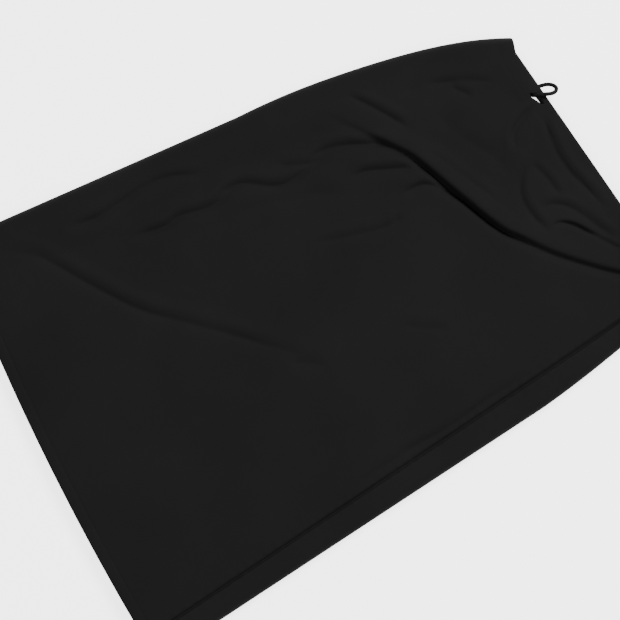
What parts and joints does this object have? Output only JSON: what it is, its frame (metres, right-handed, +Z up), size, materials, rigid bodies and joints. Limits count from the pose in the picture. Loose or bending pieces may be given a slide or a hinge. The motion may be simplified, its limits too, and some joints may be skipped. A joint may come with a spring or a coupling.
{
  "type": "kayak spray skirt",
  "caption": "Plain black tube-shaped kayak spray skirt laid flat, with a turned hem, a waist casing, a small drawcord loop and a webbing grab loop.",
  "frame": {"origin": "middle of the laid skirt's footprint, on the surface that it rests on (the free drawcord loop not counted)", "axes": "+X from the hem towards the waist, +Y towards the side with the hidden seam, +Z up"},
  "size_m": [0.815, 0.559, 0.0253],
  "materials": {
    "cloth": "matte, smooth black stretch knit",
    "facing": "matte black knit",
    "tape": "black seam tape",
    "elastic": "woven flat elastic",
    "cord": "round braided black cord",
    "lock": "fine-textured black plastic",
    "webbing": "black woven webbing",
    "label": "blank pale satin label"
  },
  "bodies": {
    "skirt": {"front_panel": "cloth", "back_panel": "cloth", "seam_tape_right": "tape", "seam_tape_left": "tape", "hem_casing_front": "facing", "hem_casing_back": "facing", "hem_elastic": "elastic", "waist_casing_front": "facing", "waist_casing_back": "facing", "waist_drawcord": "cord", "drawcord_loop": "cord", "cord_lock_body": "lock", "grab_tail": "webbing", "size_label": "label"},
    "lock_slider": {"cord_lock_slider": "lock"},
    "grab_strap": {"grab_loop": "webbing"}
  },
  "joints": [
    {"name": "lock_slide", "type": "slide", "parent": "skirt", "child": "lock_slider", "axis": [0.9953, 0.0964, 0], "range_m": [0, 0.002], "stiffness_N_per_m": 300, "springref_m": -0.001},
    {"name": "grab_loop_flip", "type": "hinge", "parent": "skirt", "child": "grab_strap", "pos_m": [-0.3465, 0.2155, 0.0052], "axis": [0, 1, 0], "range_deg": [0, 95]}
  ]
}
